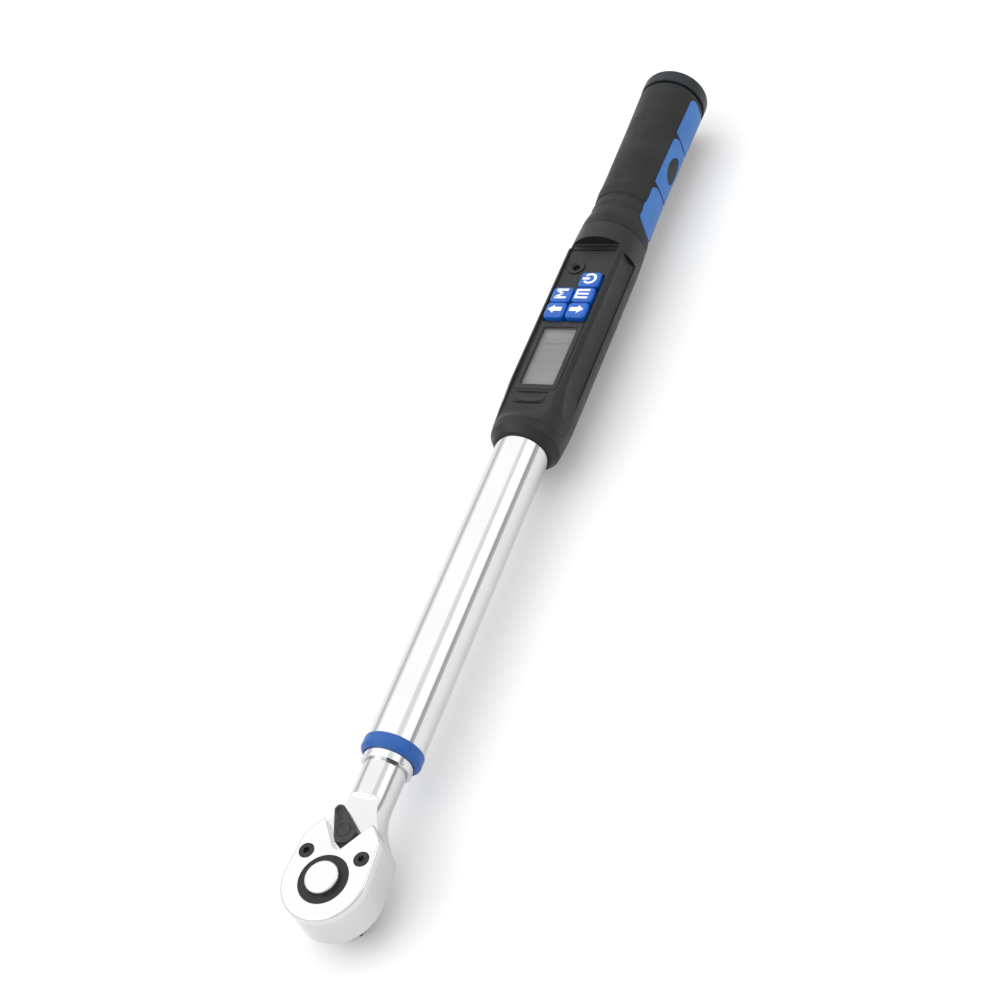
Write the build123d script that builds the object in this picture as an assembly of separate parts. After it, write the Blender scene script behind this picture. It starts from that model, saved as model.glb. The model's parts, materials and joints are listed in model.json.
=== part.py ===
from build123d import *
import math
import os

# Electronic torque wrench with a 1/2 inch ratchet head.
# Millimetres. The origin is the centre of the square drive's end face.
# +X runs along the wrench to the battery cap, +Z out of the face with the release button.

# ---- heights of the main levels ----
SQUARE = 12.7                      # across the flats of the square drive
SQUARE_LENGTH = 15.5
HEAD_BOTTOM = 16.5
HEAD_TOP = 38.5
PLATE_THICKNESS = 4.5
PLATE_BOTTOM = HEAD_TOP - PLATE_THICKNESS
TUBE_Z = 27.05                     # axis of the shank, the tube, the housing and the handle
DECK_Z = 40.7                      # flat deck with the display and the keys

# ---- head ----
HEAD_RADIUS = 21.0
HEAD_CENTRE_X = 1.0
EAR_CENTRE = (19.0, 12.5)
EAR_RADIUS = 7.2
EAR_TIP_CENTRE = (27.4, 12.0)
EAR_TIP_RADIUS = 2.2
NECK_RADIUS = 10.3
NECK_START_X = 46.0
FLAT_END_X = 45.0                  # the lever's floor is milled back to here
SHANK_END_X = 84.0
LEVER_X = 24.6
LEVER_HUB_RADIUS = 6.7
LEVER_HALF_WIDTH = 5.45
LEVER_TIP_RADIUS = 2.6
LEVER_TIP_DISTANCE = 11.9
LEVER_SWING = 34.6                 # degrees each side of the wrench's axis
NOTCH_APEX_X = 12.5
NOTCH_HALF_ANGLE = 36.0
SCREW_XY = (12.2, 14.0)
SCREW_HEAD_RADIUS = 3.6
SCREW_RADIUS = 2.0
RUNNING_GAP = 0.07                 # radial clearance of a turning fit
BODY_GAP = 0.3                     # clearance between pieces that move past each other

# ---- ratchet gear ----
TEETH = 72
GEAR_TIP_RADIUS = 14.2
GEAR_ROOT_RADIUS = 13.7
GEAR_CAVITY_RADIUS = 14.5
GEAR_FLOOR = 20.0
JOURNAL_RADIUS = 12.0
COLLAR_RADIUS = 9.0
PAWL_X = 16.5
PAWL_PIN_RADIUS = 1.4
PAWL_OUTER_RADIUS = 20.0
PAWL_HALF_ANGLE = 29.0
PAWL_ROCK = 5.5                    # degrees each side of its middle
PAWL_BOTTOM = 21.0
PAWL_TOP = 32.6
PAWL_COVER_BOTTOM = PLATE_BOTTOM - 1.0

# ---- quick release ----
BUTTON_RADIUS = 8.0
BUTTON_TOP = 42.0
BUTTON_BOTTOM = 34.0
BUTTON_TRAVEL = 2.5
PIN_RADIUS = 2.55
PIN_NECK_RADIUS = 1.65
PIN_BOTTOM = 4.5
BALL_Z = 7.5
BALL_RADIUS = 2.2
BALL_PROUD = 0.75

# ---- tube ----
TUBE_RADIUS = 14.1
TUBE_BORE = 12.3
COLLAR_START_X = 63.2
TUBE_START_X = 69.2
RING_START_X = 67.7
RING_END_X = 74.6
TUBE_END_X = 268.0

# ---- electronics housing ----
MOUTH_X = 254.0
COVER_START_X = 263.0
COVER_END_X = 388.4
DECK_START_X = 274.0
DECK_END_X = 392.4
DECK_HALF_WIDTH = 13.7
HOUSING_RADIUS = 20.0
HOUSING_END_X = 405.0
HOUSING_END_RADIUS = 19.4
SEAM_Z = TUBE_Z + 0.8
SEAM_GAP = 0.15
CAVITY_RADIUS = 17.2
CAVITY_START_X = 270.0
CAVITY_END_X = 398.0
WALL = 2.0
BOSS_Y = 14.3
BOSS_XS = (290.0, 380.0)

# ---- display, keys and board ----
LCD_X = (289.0, 330.0)
LCD_HALF_WIDTH = 9.7
FRAME_X = (285.8, 334.0)
FRAME_HALF_WIDTH = 12.4
KEY_LENGTH = 10.9
KEY_WIDTH = 11.8
KEY_PITCH = 11.4
KEY_ROW_X = 340.2
KEY_Y = 6.2
KEY_TOP = 43.9
KEY_BOTTOM = 37.4
BUZZER_XY = (374.5, 6.3)
BUZZER_HOLE_RADIUS = 2.0
BOARD_TOP = 34.4
BOARD_THICKNESS = 1.6
BOARD_X = (284.0, 386.0)
BOARD_HALF_WIDTH = 11.3

# ---- handle ----
CORE_RADIUS = 12.0
CORE_START_X = 400.0
CORE_END_X = 530.0
BATTERY_BORE = 7.9
BATTERY_BORE_X = 411.0
THREAD_START_X = 514.0
THREAD_RADIUS = 9.6
GRIP_START_X = 405.4
GRIP_END_X = 521.5
INSERT_INNER_RADIUS = 15.6
INSERT_HALF_HEIGHT = 9.0
LEFT_INSERT_DROP = -14.0           # degrees about the handle's axis
LEAD_Z = 31.0
LEAD_Y = 1.4

# ---- battery cap ----
CAP_START_X = 523.6
CAP_END_X = 533.2
CAP_RADIUS = 19.3
SPIGOT_START_X = 515.5
SPIGOT_RADIUS = 9.5


def box(x0, x1, y0, y1, z0, z1):
    """Block between two corners."""
    return Pos((x0 + x1) / 2, (y0 + y1) / 2, (z0 + z1) / 2) * Box(x1 - x0, y1 - y0, z1 - z0)


def rod_x(x0, x1, radius, y=0.0, z=TUBE_Z):
    """Cylinder along X."""
    base = (Align.CENTER, Align.CENTER, Align.MIN)
    return Pos(x0, y, z) * Rot(0, 90, 0) * Cylinder(radius, x1 - x0, align=base)


def rod_z(x, y, z0, z1, radius):
    """Cylinder along Z."""
    base = (Align.CENTER, Align.CENTER, Align.MIN)
    return Pos(x, y, z0) * Cylinder(radius, z1 - z0, align=base)


def slab(sketch, z0, z1):
    """Plan shape raised from z0 to z1."""
    return extrude(Pos(0, 0, z0) * sketch, amount=z1 - z0)


def section(sketch, x0, x1):
    """Cross-section (y, z) drawn out along X."""
    return extrude(Plane.YZ.offset(x0) * sketch, amount=x1 - x0)


def polygon(points, rounds=()):
    """Closed outline with some corners rounded: rounds is (corner number, radius) pairs."""
    face = Sketch() + make_face(Polyline(*points, close=True))
    for number, radius in rounds:
        corner = face.vertices().sort_by_distance(Vector(*points[number]))[0]
        face = fillet(corner, radius)
    return face


def turned_x(points, axis_z, rounds=()):
    """Turned part about an axis along X: points are (x, radius)."""
    outline = [(x, axis_z + radius) for x, radius in points]
    return revolve(Plane.XZ * polygon(outline, rounds), Axis((0, 0, axis_z), (1, 0, 0)))


def turned_z(points, rounds=()):
    """Turned part about the drive's axis: points are (radius, z)."""
    return revolve(Plane.XZ * polygon(points, rounds), Axis.Z)


def both_sides(part):
    """The part and its mirror image across the wrench's middle plane."""
    return part + mirror(part, about=Plane.XZ)


def coil(radius, wire_radius, height, turns):
    """Helical spring standing on z = 0."""
    path = Helix(pitch=height / turns, height=height, radius=radius)
    profile = Plane(origin=path @ 0, z_dir=path % 0) * Circle(wire_radius)
    return sweep(profile, path=path, is_frenet=True)


# ---------------------------------------------------------------- head

def head_outline():
    """Pear-shaped plan of the head: a round nose and two ears beside the lever."""
    circles = [Pos(HEAD_CENTRE_X, 0) * Circle(HEAD_RADIUS)]
    for (x, y), radius in ((EAR_CENTRE, EAR_RADIUS), (EAR_TIP_CENTRE, EAR_TIP_RADIUS)):
        circles += [Pos(x, y) * Circle(radius), Pos(x, -y) * Circle(radius)]
    edges = [circle.edges()[0] for circle in circles]
    return Sketch() + make_hull(edges)


def shoulder_limit():
    """Turned envelope: wide over the head, then sweeping in to the neck."""
    front_x, wide = HEAD_CENTRE_X - HEAD_RADIUS - 2, 26.5
    points = [(16, wide), (22, 20.8), (27, 16.6), (32, 13.6), (38, 11.3), (NECK_START_X, NECK_RADIUS)]
    sweep_in = Spline(*[(x, TUBE_Z + radius) for x, radius in points], tangents=[(1, -1), (1, 0)])
    lines = Polyline(
        (NECK_START_X, TUBE_Z + NECK_RADIUS), (NECK_START_X, TUBE_Z), (front_x, TUBE_Z),
        (front_x, TUBE_Z + wide), (16, TUBE_Z + wide),
    )
    face = make_face([*lines.edges(), sweep_in])
    return revolve(Plane.XZ * face, Axis((0, 0, TUBE_Z), (1, 0, 0)))


def fan(reach, half_angle):
    """Sector of a disc about the drive's axis, opening towards the lever."""
    x, y = reach * math.cos(math.radians(half_angle)), reach * math.sin(math.radians(half_angle))
    wedge = make_face(Polyline((0, 0), (x, -y), (reach * 1.4, 0), (x, y), close=True))
    return (Sketch() + wedge) & Circle(reach)


def pawl_recess():
    """Plan of the room behind the gear."""
    return fan(PAWL_OUTER_RADIUS + 1.3, PAWL_HALF_ANGLE + 6)


def pawl_pocket():
    """Room behind the gear for the pawl, opened through to the lever's shaft."""
    pocket = slab(pawl_recess(), PAWL_BOTTOM - BODY_GAP, PLATE_BOTTOM)
    passage = box(PAWL_OUTER_RADIUS - 1, LEVER_X, -4.2, 4.2, PAWL_BOTTOM - BODY_GAP, PAWL_TOP)
    return pocket + passage


def pawl_cover():
    """Thin plate that closes the pawl's room, flush with the lever's floor."""
    return slab(pawl_recess() - Circle(JOURNAL_RADIUS + BODY_GAP), PAWL_COVER_BOTTOM, PLATE_BOTTOM)


def ratchet_head():
    """Forged head, neck and shank in one piece, with the gear's cavity and the lever's floor."""
    pear = slab(head_outline(), HEAD_BOTTOM, PLATE_BOTTOM)
    pear = fillet(pear.faces().sort_by(Axis.Z)[0].edges(), 1.8)
    waist = slab(polygon([
        (24, -17), (29.5, -14.2), (FLAT_END_X, -12), (FLAT_END_X, 12), (29.5, 14.2), (24, 17),
    ], [(1, 6.0), (4, 6.0)]), HEAD_BOTTOM, PLATE_BOTTOM)
    head = (pear + waist) & shoulder_limit()
    head += rod_x(FLAT_END_X, SHANK_END_X, NECK_RADIUS)
    head -= rod_z(0, 0, GEAR_FLOOR, PLATE_BOTTOM, GEAR_CAVITY_RADIUS)
    head -= rod_z(0, 0, HEAD_BOTTOM, GEAR_FLOOR, JOURNAL_RADIUS)
    head -= pawl_pocket()
    head -= rod_z(PAWL_X, 0, PAWL_BOTTOM - 3, PAWL_BOTTOM, PAWL_PIN_RADIUS)
    head -= rod_z(LEVER_X, 0, HEAD_BOTTOM, PLATE_BOTTOM, 3.0 + RUNNING_GAP)
    head -= rod_z(LEVER_X, 0, HEAD_BOTTOM, HEAD_BOTTOM + 1.8, 4.7)
    head -= both_sides(rod_z(*SCREW_XY, 21.5, PLATE_BOTTOM, SCREW_RADIUS))
    head -= box(70, SHANK_END_X, -11, 11, TUBE_Z - 3.5, TUBE_Z + 3.5)
    return head - beam_pin()


def notch():
    """V-shaped opening in the cover plate that the lever swings in, with a rounded root."""
    far = 40.0
    half = (far - NOTCH_APEX_X) * math.tan(math.radians(NOTCH_HALF_ANGLE))
    return polygon([(NOTCH_APEX_X, 0), (far, -half), (far, half)], [(0, 3.4)])


def head_cover_plate():
    """Polished plate over the gear, with the drive's bore, the lever's notch and two screw seats."""
    plate = slab(head_outline(), PLATE_BOTTOM, HEAD_TOP)
    plate = fillet(plate.faces().sort_by(Axis.Z)[-1].edges(), 1.7)
    plate -= slab(notch(), PLATE_BOTTOM, HEAD_TOP)
    plate -= rod_z(0, 0, PLATE_BOTTOM, HEAD_TOP, JOURNAL_RADIUS)
    seat = rod_z(*SCREW_XY, HEAD_TOP - 2.6, HEAD_TOP, SCREW_HEAD_RADIUS + 0.1)
    plate -= both_sides(seat + rod_z(*SCREW_XY, PLATE_BOTTOM, HEAD_TOP, SCREW_RADIUS + 0.1))
    return plate


def six_lobe(x, y, z0, z1):
    """Six-lobed key socket."""
    socket = rod_z(x, y, z0, z1, 1.3)
    for lobe in range(6):
        angle = math.radians(60 * lobe)
        socket += rod_z(x + 1.35 * math.cos(angle), y + 1.35 * math.sin(angle), z0, z1, 0.42)
    return socket


def cover_screws():
    """Two screws that hold the cover plate."""
    x, y = SCREW_XY
    head = rod_z(x, y, HEAD_TOP - 2.5, HEAD_TOP + 0.2, SCREW_HEAD_RADIUS)
    head = chamfer(head.faces().sort_by(Axis.Z)[-1].edges(), 0.45)
    screw = head + rod_z(x, y, 22.5, HEAD_TOP - 2.5, SCREW_RADIUS - 0.03)
    return both_sides(screw - six_lobe(x, y, HEAD_TOP - 1.6, HEAD_TOP + 0.3))


# ---------------------------------------------------------------- ratchet

def gear_outline(grow=0.0):
    """Ring of V-shaped teeth."""
    points = []
    step = 2 * math.pi / TEETH
    for tooth in range(TEETH):
        for radius, phase in ((GEAR_TIP_RADIUS, 0.0), (GEAR_ROOT_RADIUS, 0.5)):
            angle = (tooth + phase) * step
            r = radius + grow
            points.append((r * math.cos(angle), r * math.sin(angle)))
    return Sketch() + make_face(Polyline(*points, close=True))


def ball_hole():
    """Cross hole for the retaining ball, with a narrower mouth that keeps the ball in."""
    face = SQUARE / 2
    lip = face - 0.45
    profile = Plane.XZ * polygon([
        (1.0, BALL_Z), (1.0, BALL_Z + BALL_RADIUS + 0.08), (lip, BALL_Z + BALL_RADIUS + 0.08),
        (lip, BALL_Z + 2.1), (face + 0.01, BALL_Z + 1.8), (face + 0.01, BALL_Z),
    ])
    return revolve(profile, Axis((0, 0, BALL_Z), (1, 0, 0)))


def drive_gear():
    """Toothed gear, its two journals and the square drive in one piece."""
    square = slab(Rectangle(SQUARE, SQUARE), 0, SQUARE_LENGTH)
    square = fillet(square.edges().filter_by(Axis.Z), 1.2)
    square = chamfer(square.faces().sort_by(Axis.Z)[0].edges(), 0.8)
    journal = JOURNAL_RADIUS - RUNNING_GAP
    gear = square
    gear += rod_z(0, 0, SQUARE_LENGTH, HEAD_BOTTOM + 0.2, COLLAR_RADIUS)
    gear += rod_z(0, 0, HEAD_BOTTOM + 0.2, HEAD_TOP - 0.3, journal)
    gear += slab(gear_outline(), GEAR_FLOOR + BODY_GAP, PAWL_COVER_BOTTOM - BODY_GAP)
    top = rod_z(0, 0, BUTTON_BOTTOM - BUTTON_TRAVEL - 0.3, HEAD_TOP, BUTTON_RADIUS + 0.1)
    gear -= top
    gear -= rod_z(0, 0, 1.6, HEAD_TOP, PIN_RADIUS + RUNNING_GAP)
    gear -= ball_hole()
    return gear - lower_retaining_ring()


def lower_retaining_ring():
    """Snap ring in the drive's groove, under the head."""
    ring = rod_z(0, 0, SQUARE_LENGTH + 0.1, HEAD_BOTTOM - 0.2, 11.2)
    ring -= rod_z(0, 0, SQUARE_LENGTH, HEAD_BOTTOM, COLLAR_RADIUS - 0.5)
    return ring - box(-12, -6, -0.8, 0.8, SQUARE_LENGTH, HEAD_BOTTOM)


def quick_release_button():
    """Domed push button in the middle of the gear."""
    return turned_z([
        (PIN_RADIUS, BUTTON_BOTTOM), (BUTTON_RADIUS, BUTTON_BOTTOM), (BUTTON_RADIUS, BUTTON_TOP - 0.9),
        (0, BUTTON_TOP), (0, BUTTON_TOP - 2), (PIN_RADIUS, BUTTON_TOP - 2),
    ], [(2, 1.1)])


def release_pin():
    """Pin under the button; its neck lets the ball move in when the button is down."""
    neck_z = BALL_Z + BUTTON_TRAVEL
    top_z = BUTTON_TOP - 2
    return turned_z([
        (0, PIN_BOTTOM), (PIN_RADIUS, PIN_BOTTOM), (PIN_RADIUS, BALL_Z), (PIN_NECK_RADIUS, neck_z),
        (PIN_NECK_RADIUS, neck_z + 2.5), (PIN_RADIUS, neck_z + 3.2), (PIN_RADIUS, top_z), (0, top_z),
    ])


def button_spring():
    """Coil spring under the button."""
    floor = BUTTON_BOTTOM - BUTTON_TRAVEL - 0.3
    return Pos(0, 0, floor + 0.4) * coil(4.6, 0.35, BUTTON_BOTTOM - floor - 0.8, 2.5)


def retaining_ball():
    """Ball that holds a socket on the square drive."""
    return Pos(SQUARE / 2 + BALL_PROUD - BALL_RADIUS, 0, BALL_Z) * Sphere(BALL_RADIUS)


def pawl():
    """Rocking pawl; the toe on the -Y side is in the gear's teeth."""
    plan = fan(PAWL_OUTER_RADIUS, PAWL_HALF_ANGLE) - Circle(GEAR_ROOT_RADIUS)
    plan -= Circle(GEAR_CAVITY_RADIUS) & Pos(GEAR_CAVITY_RADIUS, 0) * Rectangle(6, 10)
    plan -= Pos(LEVER_X, 0) * Circle(LEVER_HUB_RADIUS + 0.1)
    plan -= Pos(PAWL_X, 0) * Circle(PAWL_PIN_RADIUS + RUNNING_GAP)
    teeth = gear_outline(0.15)
    pivot = Axis((PAWL_X, 0, 0), (0, 0, 1))
    for rock in (-PAWL_ROCK, -PAWL_ROCK / 2, PAWL_ROCK / 2, PAWL_ROCK):
        plan -= teeth.rotate(pivot, rock)
    return slab(plan.rotate(pivot, -PAWL_ROCK), PAWL_BOTTOM, PAWL_TOP)


def pawl_pin():
    """Fixed pin that the pawl rocks on."""
    return rod_z(PAWL_X, 0, PAWL_BOTTOM - 3, PAWL_COVER_BOTTOM, PAWL_PIN_RADIUS)


# ---------------------------------------------------------------- reversing lever

def at_lever(part):
    """Turns a lever part, drawn pointing along +X from the origin, to where it rests."""
    return Pos(LEVER_X, 0, 0) * Rot(0, 0, LEVER_SWING) * part


def plunger_hole(radius, x0, x1):
    """Cylinder along the plunger's line, drawn in the lever's own frame."""
    return rod_x(x0, x1, radius, z=27.0)


def reversing_lever():
    """Wedge-shaped thumb lever on a round shaft, with a thumb groove and a round boss mark."""
    hub = (Pos(LEVER_HALF_WIDTH - LEVER_HUB_RADIUS, 0) * Circle(LEVER_HALF_WIDTH)).edge()
    tip = (Pos(LEVER_TIP_DISTANCE, 0) * Circle(LEVER_TIP_RADIUS)).edge()
    corners = [(Pos(-3.3, side * (LEVER_HALF_WIDTH - 1.3)) * Circle(1.3)).edge() for side in (-1, 1)]
    blade = slab(make_hull([hub, tip, *corners]), PLATE_BOTTOM + BODY_GAP, HEAD_TOP + 0.5)
    blade = fillet(blade.faces().sort_by(Axis.Z)[-1].edges(), 1.1)
    ring = rod_z(0, 0, HEAD_TOP + 0.15, HEAD_TOP + 1, 3.5) - rod_z(0, 0, HEAD_TOP, HEAD_TOP + 1, 3.1)
    groove = slab(Pos(8.9, 0) * SlotCenterToCenter(5.2, 2.4), HEAD_TOP - 0.15, HEAD_TOP + 1)
    shaft = rod_z(0, 0, HEAD_BOTTOM + 0.4, PLATE_BOTTOM + BODY_GAP, 3.0)
    lever = blade - ring - groove + shaft - lever_circlip_ring() - plunger_hole(1.3, -4, 2)
    return at_lever(lever)


def lever_circlip_ring():
    """Clip that keeps the lever's shaft in the head, in the lever's own frame."""
    ring = rod_z(0, 0, HEAD_BOTTOM + 0.9, HEAD_BOTTOM + 1.6, 4.3)
    ring -= rod_z(0, 0, HEAD_BOTTOM, HEAD_BOTTOM + 2, 2.4)
    return ring - box(1.5, 5, -1.2, 1.2, HEAD_BOTTOM, HEAD_BOTTOM + 2)


def lever_circlip():
    return at_lever(lever_circlip_ring())


def pawl_plunger():
    """Sprung plunger in the lever's shaft that bears on the back of the pawl."""
    nose = Pos(-4.6, 0, 27.0) * Sphere(1.0)
    return at_lever(nose + plunger_hole(1.2, -4.6, -1.0))


def plunger_spring():
    """Spring behind the plunger."""
    spring = Rot(0, 90, 0) * coil(0.85, 0.18, 2.0, 3)
    return at_lever(Pos(-0.55, 0, 27.0) * spring)


# ---------------------------------------------------------------- tube and load cell

def tube_end_collar():
    """Bush in the front of the tube; its flange shows, with a wrench slot and a dot mark."""
    collar = turned_x([
        (COLLAR_START_X, NECK_RADIUS + RUNNING_GAP), (COLLAR_START_X, 12.1), (TUBE_START_X, 12.1),
        (TUBE_START_X, TUBE_BORE), (80, TUBE_BORE), (80, NECK_RADIUS + RUNNING_GAP),
    ], TUBE_Z, [(1, 0.5)])
    dot = rod_z(COLLAR_START_X + 1.0, 0, TUBE_Z + 11.2, TUBE_Z + 14, 0.4)
    dot = dot.rotate(Axis((0, 0, TUBE_Z), (1, 0, 0)), 64)
    return collar - collar_key() - dot


def collar_key():
    """Black key let into the collar's front edge, 39 degrees round from the top."""
    key = box(COLLAR_START_X - 0.05, COLLAR_START_X + 1.25, -2.9, 2.9, TUBE_Z + 10.6, TUBE_Z + 12.3)
    key &= rod_x(COLLAR_START_X - 1, TUBE_START_X, 12.05)
    return key.rotate(Axis((0, 0, TUBE_Z), (1, 0, 0)), 39)


def blue_ring():
    """Coloured ring over the front end of the tube."""
    return turned_x([
        (RING_START_X, 12.25), (RING_START_X, 13.2), (RING_START_X + 1.9, 14.8), (RING_END_X, 14.8),
        (RING_END_X, TUBE_RADIUS), (TUBE_START_X, TUBE_RADIUS), (TUBE_START_X, 12.25),
    ], TUBE_Z, [(1, 0.5), (2, 1.2), (3, 0.4)])


def tube():
    """Chromed tube from the head to the electronics."""
    return rod_x(TUBE_START_X, TUBE_END_X, TUBE_RADIUS) - rod_x(TUBE_START_X, TUBE_END_X, TUBE_BORE)


def beam_pin():
    """Cross pin that joins the shank's fork to the load cell."""
    return rod_z(77, 0, TUBE_Z - 9.4, TUBE_Z + 9.4, 2.5)


def strain_beam():
    """Load cell: a steel beam, thinned where the strain gauges sit."""
    beam = box(70, 92, -8, 8, TUBE_Z - 3.45, TUBE_Z + 3.45)
    beam += box(92, 206, -5, 5, TUBE_Z - 5.5, TUBE_Z + 5.5)
    waist = box(110, 150, 3.6, 6, TUBE_Z - 6, TUBE_Z + 6)
    waist = fillet(waist.edges().filter_by(Axis.Z).group_by(Axis.Y)[0], 1.2)
    return beam - both_sides(waist) - beam_pin()


def strain_gauges():
    """Four foil gauges on the thin part of the beam."""
    pads = [box(x, x + 8, 3.6, 3.85, TUBE_Z - 3, TUBE_Z + 3) for x in (117, 135)]
    return both_sides(pads[0] + pads[1])


def tube_rear_bush():
    """Ring that holds the load cell's far end in the tube."""
    bush = rod_x(200, 206, TUBE_BORE) - box(200, 206, -5, 5, TUBE_Z - 5.5, TUBE_Z + 5.5)
    return bush - rod_x(200, 206, 1.1, z=cable_z())


def cable_z():
    """Height of the gauge cable, which meets the board's edge."""
    return BOARD_TOP - BOARD_THICKNESS / 2


def sensor_cable():
    """Cable from the gauges to the circuit board."""
    return rod_x(151, BOARD_X[0], 0.8, z=cable_z())


def handle_core():
    """Steel spine: a plug in the tube, a bar under the board and the battery tube."""
    plug_x = TUBE_END_X - 22
    core = rod_x(plug_x, TUBE_END_X, TUBE_BORE) - rod_x(plug_x, TUBE_END_X, 1.1, z=cable_z())
    core += box(TUBE_END_X, CORE_START_X, -8, 8, 17.0, 29.9)
    core += rod_x(CORE_START_X, CORE_END_X, CORE_RADIUS, z=TUBE_Z)
    core -= rod_x(BATTERY_BORE_X, CORE_END_X, BATTERY_BORE, z=TUBE_Z)
    core -= rod_x(THREAD_START_X, CORE_END_X, THREAD_RADIUS, z=TUBE_Z)
    core -= rod_x(CORE_START_X, BATTERY_BORE_X, 0.95, y=LEAD_Y, z=LEAD_Z)
    return core - cap_o_ring()


# ---------------------------------------------------------------- housing

def housing_outside():
    """Outer form of the electronics housing: round nose, round body, rear dome."""
    body = turned_x([
        (MOUTH_X, 0), (MOUTH_X, 14.4), (MOUTH_X + 0.6, 15.7), (MOUTH_X + 4.6, 18.6),
        (COVER_START_X, 19.2), (276, HOUSING_RADIUS), (COVER_END_X, HOUSING_RADIUS), (COVER_END_X, 0),
    ], TUBE_Z, [(3, 1.4), (5, 20.0)])
    big = Plane.YZ.offset(COVER_END_X) * Pos(0, TUBE_Z) * Circle(HOUSING_RADIUS)
    small = Plane.YZ.offset(HOUSING_END_X) * Pos(0, TUBE_Z) * Circle(HOUSING_END_RADIUS)
    return body + loft([big.face(), small.face()])


def deck_section(x, middle_z, edge_z):
    """Cross-section of what is cut away over the deck, with an arched lower edge."""
    high = DECK_Z + 15
    w = DECK_HALF_WIDTH
    arch = ThreePointArc((-w, edge_z), (0, middle_z), (w, edge_z))
    rest = Polyline((w, edge_z), (w, high), (-w, high), (-w, edge_z))
    face = make_face([arch, *rest.edges()])
    return (Plane.YZ.offset(x) * face).face()


def deck_cutter():
    """Cut that leaves the flat deck; its front end rises to the round nose."""
    flat = box(DECK_START_X, DECK_END_X, -DECK_HALF_WIDTH, DECK_HALF_WIDTH, DECK_Z, DECK_Z + 15)
    rear = flat.edges().filter_by(Axis.Y).sort_by(lambda edge: edge.center().X - edge.center().Z)[-1]
    flat = fillet(rear, 0.6)
    nose_edge = TUBE_Z + math.sqrt(19.2 ** 2 - DECK_HALF_WIDTH ** 2)
    ramp = loft([
        deck_section(COVER_START_X - 0.1, TUBE_Z + 19.2, nose_edge),
        deck_section(DECK_START_X, DECK_Z + 0.02, DECK_Z),
    ], ruled=True)
    return flat + ramp


def side_panel_section(x, shift):
    """Face that trims one side of the top cover to a shallow hollow."""
    hollow = ThreePointArc(
        (16.2 + shift, TUBE_Z + 12.4), (17.2 + shift, TUBE_Z + 6.4), (19.6 + shift, TUBE_Z + 0.5))
    outer = Polyline(
        (19.6 + shift, TUBE_Z + 0.5), (25, TUBE_Z + 0.5), (25, TUBE_Z + 12.4),
        (16.2 + shift, TUBE_Z + 12.4))
    return (Plane.YZ.offset(x) * make_face([hollow, *outer.edges()])).face()


def side_panel_cutters():
    """Long shallow hollows in both sides of the top cover."""
    start, full = COVER_START_X + 3, COVER_START_X + 27
    run_in = loft([side_panel_section(start, 2.1), side_panel_section(full, 0.0)], ruled=True)
    along = extrude(side_panel_section(full, 0.0), amount=COVER_END_X - full, dir=(1, 0, 0))
    return both_sides(run_in + along)


def side_rails():
    """Raised edges of the deck, which die away towards the nose."""
    rail = section(polygon([
        (DECK_HALF_WIDTH, TUBE_Z + 12.6), (DECK_HALF_WIDTH + 0.15, TUBE_Z + 14.8),
        (DECK_HALF_WIDTH + 1.1, TUBE_Z + 14.8), (16.9, TUBE_Z + 12.0), (15.4, TUBE_Z + 11.2),
    ], [(1, 0.15), (2, 0.35), (3, 0.4)]), COVER_START_X + 2, COVER_END_X)
    limit = turned_x([
        (COVER_START_X, 0), (COVER_START_X, 19.0), (COVER_START_X + 36, 21.2), (COVER_END_X, 21.2),
        (COVER_END_X, 0),
    ], TUBE_Z)
    return both_sides(rail & limit)


def cover_window(gap):
    """Block that the top cover fills, with rounded lower corners at the front."""
    block = box(COVER_START_X + gap, COVER_END_X - gap, -25, 25, SEAM_Z + gap, DECK_Z + 20)
    low = block.edges().filter_by(Axis.Y).group_by(Axis.Z)[0]
    return fillet(low.sort_by(Axis.X)[0], 5.0)


def housing_cavity():
    """Hollow inside the housing, with the bore for the tube at its front."""
    hollow = rod_x(CAVITY_START_X, CAVITY_END_X, CAVITY_RADIUS)
    hollow &= box(CAVITY_START_X, CAVITY_END_X, -20, 20, 0, DECK_Z - WALL)
    return hollow + rod_x(MOUTH_X - 1, CAVITY_START_X, TUBE_RADIUS + 0.15)


def key_centres():
    """Where the five keys sit, by node name."""
    left, right = KEY_Y, -KEY_Y
    return {
        "key_up": (KEY_ROW_X, left), "key_down": (KEY_ROW_X, right),
        "key_menu": (KEY_ROW_X + KEY_PITCH, left), "key_unit": (KEY_ROW_X + KEY_PITCH, right),
        "key_power": (KEY_ROW_X + 2 * KEY_PITCH, right),
    }


def keypad_opening():
    """One opening for all five keys."""
    opening = Sketch()
    for x, y in key_centres().values():
        opening += Pos(x, y) * Rectangle(KEY_LENGTH + 0.8, KEY_WIDTH + 0.8)
    return slab(opening, DECK_Z - WALL - 1, DECK_Z + 1)


def crescent(x, bulge):
    """Shallow crescent scoop across the deck, straight at the back, bulging to the nose."""
    half = 9.6
    curve = ThreePointArc((x, -half), (x - bulge, 0), (x, half))
    scoop = make_face([curve, Line((x, half), (x, -half))])
    return slab(scoop, DECK_Z - 0.6, DECK_Z + 1)


def rear_groove():
    """Narrow groove across the deck where the cover meets the rear dome."""
    return box(COVER_END_X - 0.8, COVER_END_X + 0.1, -13.4, 13.4, DECK_Z - 1.2, DECK_Z + 1)


def boss(x, y, z0, z1):
    return rod_z(x, y, z0, z1, 2.5)


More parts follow.
